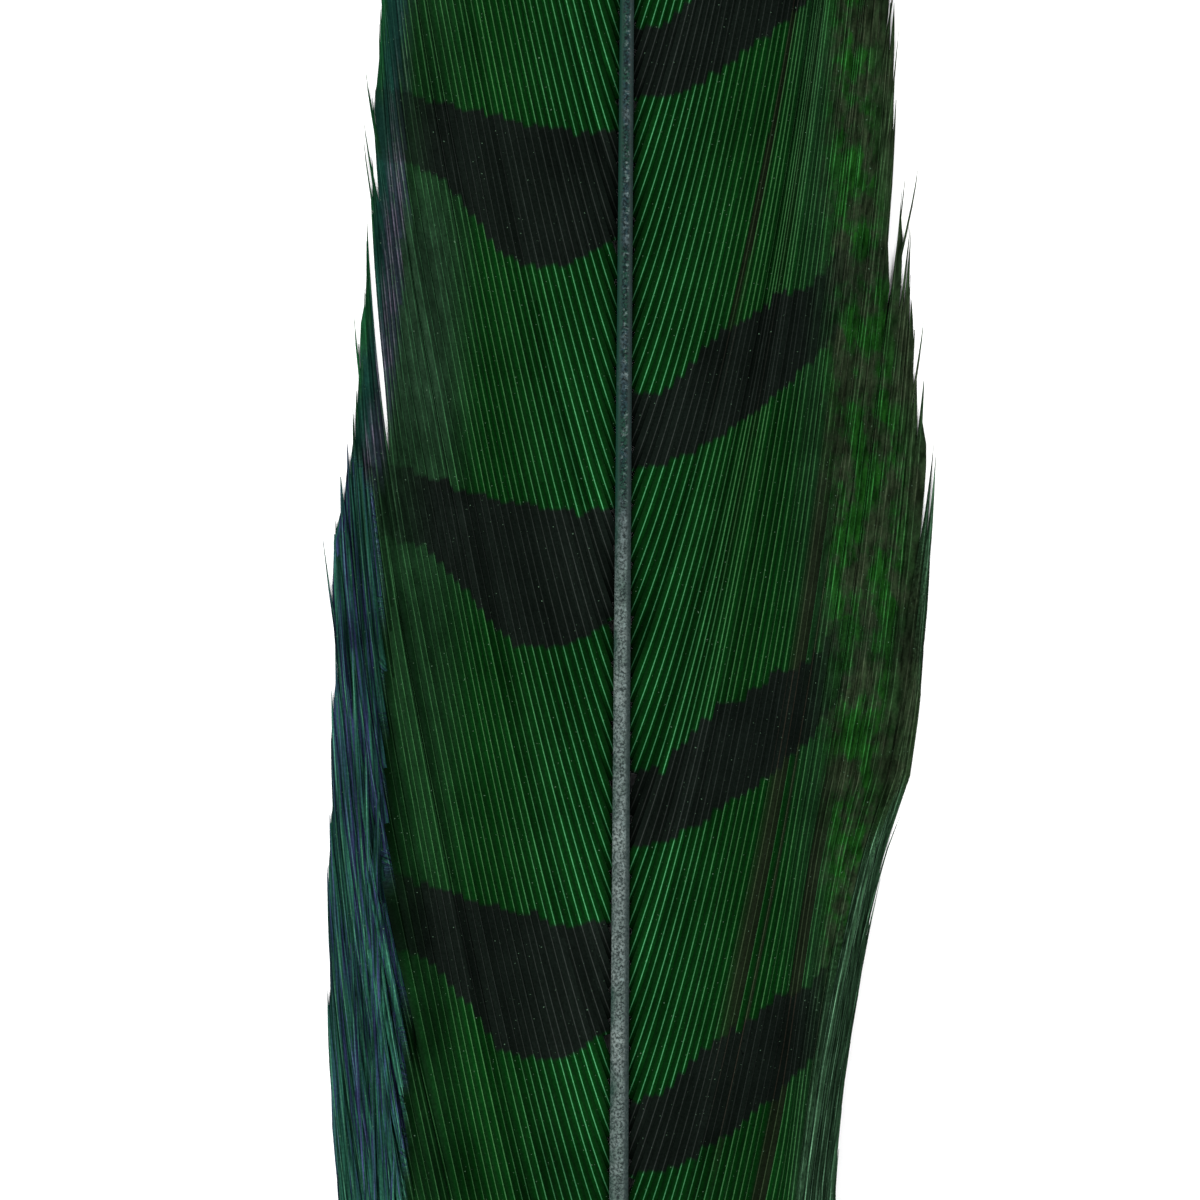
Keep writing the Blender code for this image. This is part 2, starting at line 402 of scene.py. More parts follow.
def fringe_widths(barbs, spaced, out, station, turn, gap):
    """How wide each barb's fringe is towards the tip and towards the quill, and the gap below it."""
    root, length, tear = barbs["root"][:, None], barbs["length"][:, None], TEAR[barbs["side"]]
    everyone = np.arange(len(out))
    below, above = neighbour_gaps(everyone, out, station, turn)
    hooked = everyone[barbs["freed"] == 0]
    parted = barbs["parted"][:, None] * smooth(spaced, 0.56, 0.64)
    hooked_below, hooked_above = neighbour_gaps(hooked, out, station, turn)
    below, above = below + (hooked_below - below) * parted, above + (hooked_above - above) * parted
    above[-1] = out[-1] + 0.2 * MM  # the last barb reaches over the end of the shaft
    above, below = (np.where(spaced < 0.08, gap, side_gap) for side_gap in (above, below))

    # A gap too wide to bridge is left open; low down, where barbs stand steeply, gaps are wide.
    steep = 1 - smooth(root, 0.120, 0.175)
    open_at = np.where(spaced < 0.30, OPENS_NEAR_SHAFT, OPENS_AT[barbs["side"]])
    open_at = open_at + MM * parted + 1.4 * MM * steep
    fringe, under = (COVER * wide * (1 - 0.75 * smooth(wide / open_at, 1.0, 1.2)) for wide in (above, below))
    torn_from = TEAR_FROM[barbs["side"]]
    torn = np.abs(root - tear) < barbs["pitch"]
    torn = torn * smooth(spaced, torn_from, torn_from + 0.08) * (1 - smooth(spaced, 0.97, 1.02))
    fringe, under = fringe * (1 - torn * (root < tear)), under * (1 - torn * (root > tear))

    # Fringes narrow to the barb's point, and a strand that stands out has almost none.
    taper = np.clip((1 - spaced) / 0.06, 0.06, 1) ** 0.8 * np.clip(length / (40 * MM), 0.85, 1)
    loose = looseness(barbs, spaced)
    wider = (0.4 * parted + 0.6 * steep) * MM
    fringe = np.clip(fringe, FRINGE[0], FRINGE[1] + wider) * taper
    fringe = fringe + (LOOSE_FRINGE * taper - fringe) * loose
    under = np.clip(under + 0.10 * MM, UNDER[0], UNDER[1] + wider) * taper
    under = under + (LOOSE_UNDER * taper - under) * loose
    thinned = 1 - 0.7 * smooth(barbs["flare"][:, None], 0.1 * MM, 0.4 * MM) * smooth(spaced, 0.88, 0.96)
    return fringe * thinned, under * thinned, below, taper


def strips(barbs, spaced, out, station):
    """Points of the closed strips, as (barb, step, section point, xyz)."""
    side = SIDES[barbs["side"]]
    root, length = barbs["root"][:, None], barbs["length"][:, None]
    turn = np.arctan2(np.gradient(out, axis=1), np.gradient(station, axis=1))
    gap = barbs["pitch"] * np.sin(np.maximum(np.abs(turn), 0.06))
    fringe, under, below, taper = fringe_widths(barbs, spaced, out, station, turn, gap)
    loose = looseness(barbs, spaced)
    slope = np.clip(ROOF / gap, 0.06, 0.30)
    rib = np.minimum(RIB + (LOOSE_RIB - RIB) * loose, 0.45 * np.maximum(below, FRINGE[0]))
    rib = rib * (0.3 + 0.7 * taper)

    # A barb leaves the shaft's side and sinks to the table over the first part of its way out.
    attached = shaft_underside(root) + ATTACHED_AT * shaft_width(root)
    sunk_by = 0.18 * length
    height = attached - (attached - LOWEST - 0.1 * MM) * np.clip(out / sunk_by, 0, 1.1) ** 1.8
    lift = LOOSE_LIFT * loose * (0.6 + 0.8 * barbs["hue"][:, None])
    height = np.maximum(height + lift, LOWEST + under * slope)

    across = fringe[..., None] * ACROSS
    across[..., 0], across[..., 1] = -under, -0.5 * under
    across[..., 2], across[..., 4] = -rib, rib
    across[..., 7], across[..., 8] = 0.7 * rib, -0.7 * rib
    up = slope[..., None] * across
    up[..., 3] += 0.8 * rib
    up[..., 7:] = -0.5 * rib[..., None]
    x = side * out[..., None] - side * across * np.cos(turn)[..., None]
    y = station[..., None] + across * np.sin(turn)[..., None]
    x = x + shaft_x(station)[..., None]
    return np.stack([x, y - FEATHER_LENGTH / 2, height[..., None] + up], axis=-1)


def placed(name, mesh):
    """A new object in the scene, selected by itself."""
    thing = bpy.data.objects.new(name, mesh)
    bpy.context.scene.collection.objects.link(thing)
    bpy.ops.object.select_all(action="DESELECT")
    thing.select_set(True)
    bpy.context.view_layer.objects.active = thing
    return thing


def joined_strips(name, points, fields, flip):
    """One mesh of closed strips, with its fields as attributes and each strip in its own row of OFBake."""
    count, steps, sides, _ = points.shape
    index = np.arange(count * steps * sides).reshape(count, steps, sides)
    near, far = index[:, :-1], index[:, 1:]
    quads = np.stack([near, np.roll(near, -1, 2), np.roll(far, -1, 2), far], -1)
    row = (np.arange(count)[:, None, None, None] + 0.02 + 0.9 * BAKE_ROW[None, None, :, None]) / count
    row = np.broadcast_to(row, (count, steps - 1, sides + 1, 1))
    along = np.linspace(0.01, 0.98, steps)
    u_near = np.broadcast_to(along[None, :-1, None, None], (count, steps - 1, sides, 1))
    u_far = np.broadcast_to(along[None, 1:, None, None], (count, steps - 1, sides, 1))
    u = np.concatenate([u_near, u_near, u_far, u_far], -1)
    v = np.concatenate([row[:, :, :-1], row[:, :, 1:], row[:, :, 1:], row[:, :, :-1]], -1)
    if flip:
        quads, u, v = quads[..., ::-1], u[..., ::-1], v[..., ::-1]
    caps = [index[:, 0], index[:, -1, ::-1]]
    if not flip:
        caps = [cap[:, ::-1] for cap in caps]
    faces = quads.reshape(-1, 4).tolist() + [face.tolist() for cap in caps for face in cap]
    mesh = bpy.data.meshes.new(name)
    mesh.from_pydata(points.reshape(-1, 3), [], faces)
    bake = mesh.uv_layers.new(name="OFBake")
    corners = np.zeros((len(mesh.loops), 2))
    corners[: u.size] = np.stack([u.ravel(), v.ravel()], -1)
    turn = np.linspace(0, 2 * math.pi, sides, endpoint=False)
    cap_spot = 0.0004 * np.stack([np.cos(turn), np.sin(turn)], -1)
    cap_row = (np.tile(np.arange(count), 2)[:, None] + 0.5) / count
    corners[u.size:] = np.concatenate(
        [0.995 + 0 * cap_row + cap_spot[None, :, 0], cap_row + cap_spot[None, :, 1]], axis=1
    ).reshape(2 * count, 2, sides).transpose(0, 2, 1).reshape(-1, 2)
    bake.data.foreach_set("uv", corners.ravel())
    for field, values in fields.items():
        layer = mesh.attributes.new(field, "FLOAT", "POINT")
        values = np.broadcast_to(values, points.shape[:3]).ravel().astype(np.float32)
        layer.data.foreach_set("value", values)
    piece = placed(name, mesh)
    bpy.ops.object.shade_smooth_by_angle(angle=math.radians(70))
    return piece


# %% [markdown]
# ## What each stretch of a barb looks like
#
# The dye took differently along the barbs: fresh green near the shaft, brown and mottled green
# towards the right margin, teal and violet on the loose strands of the left. Each of these is a field
# from 0 to 1, worked out from how far out a point is, and the material mixes its colours by them.
# Painted shade is such a field too: right beside the shaft, at and under the loose strands on the left, and
# in folds.

# %% Fields of dye, pigment and painted shade
def between(value, start, end, blur):
    """1 from start to end, with soft borders."""
    return smooth(value, start - blur, start + blur) * (1 - smooth(value, end - blur, end + blur))


# How strongly the outer left vane is stained brown, by station.
STAIN = ((0.300, 0.318, 0.334, 0.343, 0.352, 0.361), (0.2, 0.3, 0.6, 1.0, 1.0, 0.2))
# The band of loose strands along the left margin starts this far out, in mm, by station.
BAND = (
    (0.240, 0.262, 0.2927, 0.2987, 0.305, 0.31125, 0.3175, 0.330, 0.337, 0.345),
    (30, 13.5, 13.1, 13.1, 13.3, 14.1, 14.6, 14.9, 15.6, 19),
)
# The squeezed lock's strands start this far out, in mm, by station.
LOCK_STRANDS = ((0.250, 0.262, 0.2935, 0.305, 0.314, 0.320), (30, 12.0, 10.6, 12.4, 14.6, 18.5))


def inset_of(barbs, out, station):
    """How far in from the margin a point lies, in mm."""
    roots, margin = MARGIN[barbs["side"]]
    ends = np.array(roots) + 0.975 * np.interp(roots, *LENGTHS[barbs["side"]]) * MM
    return np.interp(station, ends, margin) - out / MM


def fields_of(barbs, spaced, out, station, inside):
    """What the materials need to know at every point of the strips, by name."""
    hue = barbs["hue"][:, None]
    loose = looseness(barbs, spaced)
    out_mm = out / MM
    nothing = 0 * out
    if barbs["side"] == "left":
        inset = inset_of(barbs, out, station) + 0.25 * (hue - 0.5)
        stain = smooth(out_mm, 8.5, 12.0) * np.interp(station, *STAIN)
        violet = between(inset, 1.1, 2.3, 0.3) * (0.25 + 0.75 * smooth(-station, -0.364, -0.356))
        blue = between(inset, 0.35, 1.5, 0.2)
        edge = 1 - smooth(inset, 0.25, 0.45)
        mottle, rim, lock_tone = nothing, nothing, nothing
        past_border = out_mm - np.interp(station, *BAND)
        band = smooth(past_border, -0.05, 0.30)
        strands = np.maximum(loose, band)
        # Painted shade: a shadow at the inner border of the band of loose strands, and shade on the vane
        # beneath them.
        shaded = 0.7 * between(past_border, -0.45, 0.1, 0.2) * (1 - loose) + 0.35 * band * (1 - loose)
    else:
        stain = 0.5 * smooth(out_mm, 9.5, 13.0)
        violet, blue, edge = nothing, nothing, nothing
        mottle = smooth(out_mm, 11.8, 13.6)
        rim = 1 - smooth(inset_of(barbs, out, station), 0.6, 2.4)
        strands = smooth(out_mm - np.interp(station, *LOCK_STRANDS), 0, 0.8)
        lock_tone = strands * (1.2 * hue - 0.5)
        hue = 0.45 * hue
        shaded = nothing
    reach = out / BAR_REACH[barbs["side"]]
    fields = {
        "bar": inside * (1 - 0.75 * smooth(reach, 0.80, 1.12)) * (1 - strands),
        "stain": stain,
        "violet": violet,
        "blue": blue,
        "edge": edge,
        "loose": strands,
        "mottle": mottle * (1 - strands),
        "rim": rim,
        # Painted shade of folds: some barbs darker and browner along their middle stretch.
        "groove": 0.8 * barbs["groove"][:, None] * between(out_mm, 6.2, 13.0, 1.2) * (1 - strands),
        "near_shaft": 1 - smooth(out_mm, 1.0, 8.0),
        # Painted shade right beside the shaft, joined with the left band's painted shade.
        "shade": np.maximum(1 - smooth(out_mm, 0.5, 1.3), shaded),
        "streaks": strands * (barbs["side"] == "left"),
        "tone": barbs["tone"][:, None] + lock_tone,
        "hue": hue,
    }
    fields = {name: (values + nothing)[..., None] for name, values in fields.items()}
    fields["across"] = ACROSS
    fields["crest"] = CREST
    return fields


# %% [markdown]
# ## Colours and the node helper
#
# Colours are written as the hex values that a paint program shows. Blender mixes linear light, so one
# function turns them. Another adds a node with its settings and links, and a third lays colours over
# one another, so a material reads from top to bottom as a list of what covers what.

# %% Helpers for materials
def linear(hex_colour):
    """An sRGB hex value as linear red, green, blue and alpha."""
    parts = [int(hex_colour[i : i + 2], 16) / 255 for i in (1, 3, 5)]
    return (*[p / 12.92 if p <= 0.04045 else ((p + 0.055) / 1.055) ** 2.4 for p in parts], 1.0)


def fill(tree, target, inputs):
    """Links sockets of a node, named or numbered, or sets those given a number or a colour."""
    for key, value in inputs.items():
        if isinstance(value, bpy.types.NodeSocket):
            tree.links.new(value, target.inputs[key])
        else:
            target.inputs[key].default_value = value


def node(tree, kind, inputs, give=0, **settings):
    """Adds a node with its settings and links, and gives one of its outputs."""
    new = tree.nodes.new("ShaderNode" + kind)
    for key, value in settings.items():
        setattr(new, key, value)
    fill(tree, new, inputs)
    return new.outputs[give]


def painted(add, colour, layers):
    """Lays colours over one another, each as strongly as its mask says."""
    for mask, over in layers:
        under, over = (linear(paint) if isinstance(paint, str) else paint for paint in (colour, over))
        colour = add("Mix", {0: mask, 6: under, 7: over}, give=2, data_type="RGBA")
    return colour


def new_material(name):
    """A material, a function that adds nodes to it, and one that fills its shader's sockets."""
    material = bpy.data.materials.new(name)
    material.use_nodes = True
    tree = material.node_tree
    return material, partial(node, tree), partial(fill, tree, tree.nodes["Principled BSDF"])


# %% [markdown]
# ## Dyed barb keratin
#
# Barbs are keratin, the stuff of nails, dyed through. The rib is smooth and paler, and its fine bright
# line is that paler colour with a painted highlight in it, for the shader gives the barbs no gloss. The
# fringe is matt, with a grain of tiny side-branches, and is darkest half way to the next rib. In the bars
# the keratin is black with melanin and the dye hardly shows, so there the rib and its painted highlight turn
# grey.

# %% Material of the barbs
GRAIN = 0.16 * MM  # side-branches are 0.03 mm apart; drawn coarser, so that they show
PATCH_WIDTH = 1.5 * MM  # the mottling's patches, across and along the barbs
PATCH_LENGTH = 3.2 * MM
CLOUD = 6.0 * MM  # slow change of the dye over the whole vane
SPECK = 0.15 * MM  # small light specks on the barbs
FIBRE = 1.5 * MM  # length of the lighter and darker stretches of a fibre
FIBRES_ACROSS = 1.6  # across one fringe; twice as many on a loose strand
BARB_SHIFT = 40.0  # by a share of this the fibres shift from barb to barb, so that none repeat
STREAK = (0.12 * MM, 8.0 * MM, 0.12 * MM)  # the streaks of the loose strands, across and along
BAND_LEAN, LOCK_LEAN = math.radians(3.5), math.radians(-9.5)  # how they lie on the left and right
FIELDS = (
    "bar", "crest", "across", "stain", "mottle", "rim", "loose", "violet", "blue", "edge",
    "near_shaft", "tone", "hue", "groove", "shade", "streaks",
)


def green_patches(add, place):
    """1 in the green patches of the mottling and 0 in the dull ones."""
    stretched = add("Mapping", {"Vector": place, "Scale": (1 / PATCH_WIDTH, 1 / PATCH_LENGTH, 1.0)})
    noise = add("TexNoise", {"Vector": stretched, "Scale": 1.0, "Detail": 4.0, "Roughness": 0.66})
    return add("MapRange", {0: noise, 1: 0.38, 2: 0.58}, interpolation_type="SMOOTHSTEP")


def fibre_lines(add, place, has):
    """The light and dark of fibres along each barb, most where the dye is dull, and a spare noise."""
    y = add("SeparateXYZ", {0: place}, give="Y")
    fineness = {0: has["loose"], 1: FIBRES_ACROSS, 2: FIBRES_ACROSS}
    across = {0: has["across"], 1: add("Math", fineness, operation="MULTIPLY_ADD")}
    across = {0: has["hue"], 1: BARB_SHIFT, 2: add("Math", across, operation="MULTIPLY")}
    stretch = add("Math", {0: has["loose"], 1: -0.8 / FIBRE, 2: 1 / FIBRE}, operation="MULTIPLY_ADD")
    fibre_place = {
        "X": add("Math", across, operation="MULTIPLY_ADD"),
        "Y": add("Math", {0: y, 1: stretch}, operation="MULTIPLY"),
    }
    noise = add("TexNoise", {"Vector": add("CombineXYZ", fibre_place), "Scale": 1.0, "Detail": 3.0})
    light = add("MapRange", {0: noise, 1: 0.36, 2: 0.64, 3: 0.45, 4: 1.6})
    shown = add("Math", {0: has["stain"], 1: 0.4, 2: 0.15}, operation="MULTIPLY_ADD")
    shown = add("Math", {0: has["mottle"], 1: 0.6, 2: shown}, operation="MULTIPLY_ADD")
    shown = add("Math", {0: shown, 1: has["loose"]}, operation="MAXIMUM")
    spare_noise = add("SeparateColor", {0: noise.node.outputs["Color"]}, give=1)
    return add("Mix", {0: shown, 2: 1.0, 3: light}), spare_noise


def strand_streaks(add, place, has, fibre_noise):
    """How light a loose strand is, with painted light and shade of fine strands along it, and where its
    green turns to slate and then to indigo.
    """
    band_place, lock_place = (
        add("Mapping", {"Vector": place, "Rotation": (0, 0, lean), "Scale": STREAK}, vector_type="TEXTURE")
        for lean in (BAND_LEAN, LOCK_LEAN)
    )
    along = painted(add, lock_place, [(has["streaks"], band_place)])
    noise = add("TexNoise", {"Vector": along, "Scale": 1.0, "Detail": 2.5})
    # Lighter and darker streaks on the loose strands: painted light and shade of fine strands and the gaps
    # between them.
    light = add("MapRange", {0: noise, 1: 0.38, 2: 0.62, 3: 0.55, 4: 1.9})
    light = add("Mix", {0: has["loose"], 2: 1.0, 3: light})
    streak_hue = add("SeparateColor", {0: noise.node.outputs["Color"]}, give=1)
    half = add("Math", {0: fibre_noise, 1: 0.5}, operation="MULTIPLY")
    streak_hue = add("Math", {0: streak_hue, 1: 0.5, 2: half}, operation="MULTIPLY_ADD")
    streak_hue = add("MapRange", {0: streak_hue, 1: 0.42, 2: 0.62})
    amount = add("Math", {0: has["streaks"], 1: 0.75}, operation="MULTIPLY")
    hue = add("Mix", {0: amount, 2: has["hue"], 3: streak_hue})
    return light, add("MapRange", {0: hue, 1: 0.34, 2: 0.46}), add("MapRange", {0: hue, 1: 0.55, 2: 0.72})


# %% [markdown]
# The fringe and the rib are painted in the same way, layer over layer: first the green of the inner
# vane, then the stains, the mottling and the strands over it, and the black of the bars last. The rib,
# its paler colour with a painted highlight in it, shows only on the crest of the section, which is what
# draws each barb as a line.

# %% Colours of the fringe and the rib
def fringe_colour(add, has, slate, indigo):
    beside = add("Math", {0: has["across"]}, operation="ABSOLUTE")
    beside_rib = add("MapRange", {0: beside, 1: 0.15, 2: 0.75, 3: 1.0, 4: 0.0})
    slate_strand = painted(add, "#13292C", [(indigo, "#1B2137")])
    band_strand = painted(add, "#15352A", [(slate, slate_strand)])
    strand = painted(add, "#17291B", [(has["streaks"], band_strand)])
    return painted(add, "#051A07", [
        (beside_rib, "#022406"),
        (has["stain"], "#142518"),
        (has["patchy"], "#0D2D0B"),
        (has["dull"], "#1A2416"),
        (has["groove"], "#10120C"),
        (has["blue"], "#0C2620"),
        (has["violet"], "#1A2127"),
        (has["edge"], "#0D2F1A"),
        (has["loose"], strand),
        (has["bar"], "#0A0F0C"),
    ])


# The rib's colours: its paler keratin with a painted highlight in it.
def rib_colour_and_highlight(add, has, slate, indigo):
    band_strand = painted(add, "#325C48", [(slate, "#2F4E4E"), (indigo, "#333A55")])
    strand = painted(add, "#42604A", [(has["streaks"], band_strand)])
    grey = painted(add, "#1D221F", [(has["near_shaft"], "#2C312E"), (has["groove"], "#28241D")])
    lilac = add("Math", {0: has["violet"], 1: has["patch"]}, operation="MULTIPLY")
    return painted(add, "#345C36", [
        (has["near_shaft"], "#44855A"),
        (has["stain"], "#27482F"),
        (has["patchy"], "#285E2B"),
        (has["dull"], "#323B2B"),
        (has["groove"], "#2B2C22"),
        (has["blue"], "#18392F"),
        (lilac, "#5A5462"),
        (has["edge"], "#123D22"),
        (has["loose"], strand),
        (has["bar"], grey),
    ])


def dyed_barb_keratin():
    material, add, fill_shader = new_material("dyed_barb_keratin")
    place = add("TexCoord", {}, give="Object")
    has = {name: add("Attribute", {}, give="Fac", attribute_name=name) for name in FIELDS}
    has["patch"] = green_patches(add, place)
    away_from_rim = add("Math", {0: has["rim"], 1: -0.75, 2: 1.0}, operation="MULTIPLY_ADD")
    patchy = add("Math", {0: has["patch"], 1: away_from_rim}, operation="MULTIPLY")
    has["patchy"] = add("Math", {0: has["mottle"], 1: patchy}, operation="MULTIPLY")
    has["dull"] = add("Math", {0: has["mottle"], 1: has["patchy"]}, operation="SUBTRACT")
    fibre_light, fibre_noise = fibre_lines(add, place, has)
    painted_strand_relief, slate, indigo = strand_streaks(add, place, has, fibre_noise)
    rib_and_highlight_mask = add("Math", {0: has["crest"], 1: 1.2}, operation="POWER")
    fringe, rib = (paint(add, has, slate, indigo) for paint in (fringe_colour, rib_colour_and_highlight))
    # Over the crest the rib's paler colour and painted highlight cover the fringe.
    colour = painted(add, fringe, [(rib_and_highlight_mask, rib)])

    grain = add("TexNoise", {"Vector": place, "Scale": 1 / GRAIN, "Detail": 2.0, "Roughness": 0.6})
    clouds = add("TexNoise", {"Vector": place, "Scale": 1 / CLOUD, "Detail": 2.0})
    tone = add("Math", {0: has["tone"], 1: 0.8, 2: -0.04}, operation="MULTIPLY_ADD")
    lightness = add("Math", {0: tone, 1: clouds}, operation="ADD")
    speckle = add("Math", {0: grain, 1: 1.1, 2: 0.42}, operation="MULTIPLY_ADD")
    # The painted shade darkens the colour by up to three quarters.
    unshaded = add("Math", {0: has["shade"], 1: -0.75, 2: 1.0}, operation="MULTIPLY_ADD")
    for factor in (speckle, unshaded, painted_strand_relief, fibre_light):
        lightness = add("Math", {0: lightness, 1: factor}, operation="MULTIPLY")
    colour = add("Mix", {0: 1.0, 6: colour, 7: lightness}, give=2, data_type="RGBA", blend_type="MULTIPLY")
    speck_noise = add("TexNoise", {"Vector": place, "Scale": 1 / SPECK, "Detail": 1.0})
    specks = add("MapRange", {0: speck_noise, 1: 0.755, 2: 0.80, 4: 0.5})
    fill_shader({
        "Base Color": painted(add, colour, [(specks, "#55705A")]),
        "Roughness": add("Math", {0: has["crest"], 1: -0.25, 2: 0.72}, operation="MULTIPLY_ADD"),
        "Specular IOR Level": 0.0,
        "Normal": add("Bump", {"Height": grain, "Strength": 0.35, "Distance": 0.02 * MM}),
    })
    return material


barb_keratin = dyed_barb_keratin()
print("Nodes in the barbs' material:", len(barb_keratin.node_tree.nodes))

# %% [markdown]
# ## The vanes
#
# Each side is built in sections of neighbouring barbs, to keep every mesh to a size that is easy to
# handle. A section stands for the web, or the webs, that its barbs belong to.

# %% Build the vanes
WEB_SPLITS = {
    "left": ((0.2785, "left_web_lower"), (1.0, "left_web_upper")),
    "right": ((0.231, "right_web_lower"), (0.268, "right_web_middle"), (1.0, "right_web_upper")),
}
BARBS_IN_SECTION = 29


def webs_between(side, first, last):
    """The solids of the webs that a stretch of roots belongs to."""
    webs, start = [], 0.0
    for end, web in WEB_SPLITS[side]:
        if first < end and last > start:
            webs.append(web)
        start = end
    return webs


def build_vane(barbs):
    side = barbs["side"]
    share, out, station = curves(barbs)
    shifts = barbs["low_edge"][:, None], barbs["high_edge"][:, None]
    spaced = spaced_shares(barbs, share, in_a_bar(side, out, station, *shifts))
    out, station = at_shares(out, share, spaced), at_shares(station, share, spaced)
    inside = in_a_bar(side, out, station, *shifts)
    points = strips(barbs, spaced, out, station)
    fields = fields_of(barbs, spaced, out, station, inside)
    groups = np.array_split(np.arange(len(barbs["root"])), math.ceil(len(barbs["root"]) / BARBS_IN_SECTION))
    for number, group in enumerate(groups, 1):
        part = {name: values[group] if values.ndim == 3 else values for name, values in fields.items()}
        piece = joined_strips(f"{side}_barbs_{number}", points[group], part, flip=side == "left")
        piece.data.materials.append(barb_keratin)
        roots = barbs["root"][group]
        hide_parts(*webs_between(side, roots[0], roots[-1]))
        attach(piece, "root")
    print(side, "vane:", len(groups), "sections,", 2 * len(points) * (STEPS - 1) * SECTION, "triangles")


build_vane(left)
build_vane(right)

# %% [markdown]
# ## Down
#
# Below the vane the barbs have no hooks: they stay soft, wave about, and their long side-branches
# stand off on all sides as fluff. Both are hairs, so one function lays a thin three-sided tube, drawn
# to a point, along any number of paths at once.

# %% Model the down
DOWN_ROOTS = (33.5 * MM, 81.0 * MM)
DOWN_BARBS = 38
DOWN_STEPS = 22
DOWN_LENGTHS = ((33, 50, 75), (9, 16, 21))  # in mm, by the root's station in mm
DOWN_THICK = 0.09 * MM
HAIR_SPACING = 0.22 * MM
HAIR_LENGTH = 3.2 * MM
HAIR_THICK = 0.055 * MM
TUFT = 2.5 * MM  # over such a distance the dye on the down changes


def hair_faces(paths, thick, offset):
    """Points and faces of three-sided tubes along paths of shape (hair, step, xyz)."""
    count, steps, _ = paths.shape
    along = np.gradient(paths, axis=1)
    along /= np.linalg.norm(along, axis=2, keepdims=True)
    sideways = np.cross(along, (0, 0, 1.0))
    sideways /= np.linalg.norm(sideways, axis=2, keepdims=True)
    upward = np.cross(sideways, along)
    taper = (thick * (1 - 0.5 * np.linspace(0, 1, steps)))[None, :, None]
    corners = [paths + taper * (math.cos(a) * sideways + math.sin(a) * upward) for a in (0.0, 2.1, 4.2)]
    rings = np.stack(corners, 2)[:, :-1]
    points = np.concatenate([rings.reshape(-1, 3), paths[:, -1]])
    index = offset + np.arange(count * (steps - 1) * 3).reshape(count, steps - 1, 3)
    tips = offset + index.size + np.arange(count)
    near, far = index[:, :-1], index[:, 1:]
    quads = np.stack([near, np.roll(near, -1, 2), np.roll(far, -1, 2), far], -1).reshape(-1, 4)
    last = index[:, -1]
    ends = np.stack([last, np.roll(last, -1, 1), np.repeat(tips[:, None], 3, 1)], -1).reshape(-1, 3)
    return points, quads.tolist() + ends.tolist() + index[:, 0, ::-1].tolist()


def down_paths(side, seed):
    """The waving down barbs of one side, and the paths of the fluff along them."""
    chance = np.random.default_rng(seed)
    roots = np.linspace(*DOWN_ROOTS, DOWN_BARBS) + 0.2 * MM * chance.normal(size=DOWN_BARBS)
    length = np.interp(roots / MM, *DOWN_LENGTHS) * MM * (1 + 0.08 * chance.normal(size=DOWN_BARBS))
    share = np.linspace(0, 1, DOWN_STEPS)
    phase = chance.uniform(0, 2 * math.pi, (DOWN_BARBS, 1))
    rise = ((roots - DOWN_ROOTS[0]) / (DOWN_ROOTS[1] - DOWN_ROOTS[0]))[:, None]
    degrees = 66 - 22 * rise - 30 * share + 16 * np.sin(2 * math.pi * 1.3 * share + phase)
    angle = np.radians(degrees)
    step = length[:, None] / (DOWN_STEPS - 1)
    outwards, forwards = np.sin(angle) * step, np.cos(angle) * step
    out = 0.40 * shaft_width(roots)[:, None] + np.cumsum(outwards, 1) - outwards[:, :1]
    station = roots[:, None] + np.cumsum(forwards, 1) - forwards[:, :1]
    attached = (shaft_underside(roots) + ATTACHED_AT * shaft_width(roots))[:, None]
    loft = chance.uniform(0.4, 2.6, (DOWN_BARBS, 1)) * (1 - 0.6 * rise) * MM
    height = attached * (1 - share) ** 2 + loft * np.sin(math.pi * 0.5 * share) + 0.3 * MM
    x = SIDES[side] * out + shaft_x(roots)[:, None]
    barbs = np.stack([x, station - FEATHER_LENGTH / 2, height], -1)
    hairs = []
    for barb, size in zip(barbs, length):
        count = int(size / HAIR_SPACING)
        for turn in (-1, 1):
            place = np.clip(np.linspace(0.06, 0.98, count) + 0.004 * chance.normal(size=count), 0, 1)
            foot = np.stack([np.interp(place, share, barb[:, axis]) for axis in range(3)], -1)
            ahead = np.stack([np.interp(place + 0.02, share, barb[:, axis]) for axis in range(3)], -1)
            back = np.stack([np.interp(place - 0.02, share, barb[:, axis]) for axis in range(3)], -1)
            tangent = (ahead - back) / np.linalg.norm(ahead - back, axis=1, keepdims=True)
            across = turn * np.cross(tangent, (0, 0, 1.0))
            rise = chance.uniform(-0.5, 0.7, (count, 1)) * np.array([0, 0, 1.0])
            reach = HAIR_LENGTH * (0.35 + 0.65 * np.sin(math.pi * place) ** 0.6)
            reach = reach * chance.uniform(0.75, 1.15, count)
            bend = np.linspace(0, 1, 4)[None, :, None]
            lean = (across + rise)[:, None] * bend + tangent[:, None] * (0.35 * bend + 0.55 * bend**2)
            hairs.append(foot[:, None] + lean * reach[:, None, None])
    hairs = np.concatenate(hairs)
    hairs[..., 2] = np.maximum(hairs[..., 2], 0.06 * MM)
    return barbs, hairs


# Dyed down is keratin drawn out so thin that it has no gloss: a soft, uneven grey-green.
def soft_down():
    material, add, fill_shader = new_material("soft_dyed_down")
    place = add("TexCoord", {}, give="Object")
    tufts = add("TexNoise", {"Vector": place, "Scale": 1 / TUFT, "Detail": 3.0})
    dye = add("MapRange", {0: tufts, 1: 0.38, 2: 0.62})
    colour = painted(add, "#1E3426", [(dye, "#3E493E")])
    fill_shader({"Base Color": colour, "Roughness": 0.9, "Specular IOR Level": 0.1})
    return material


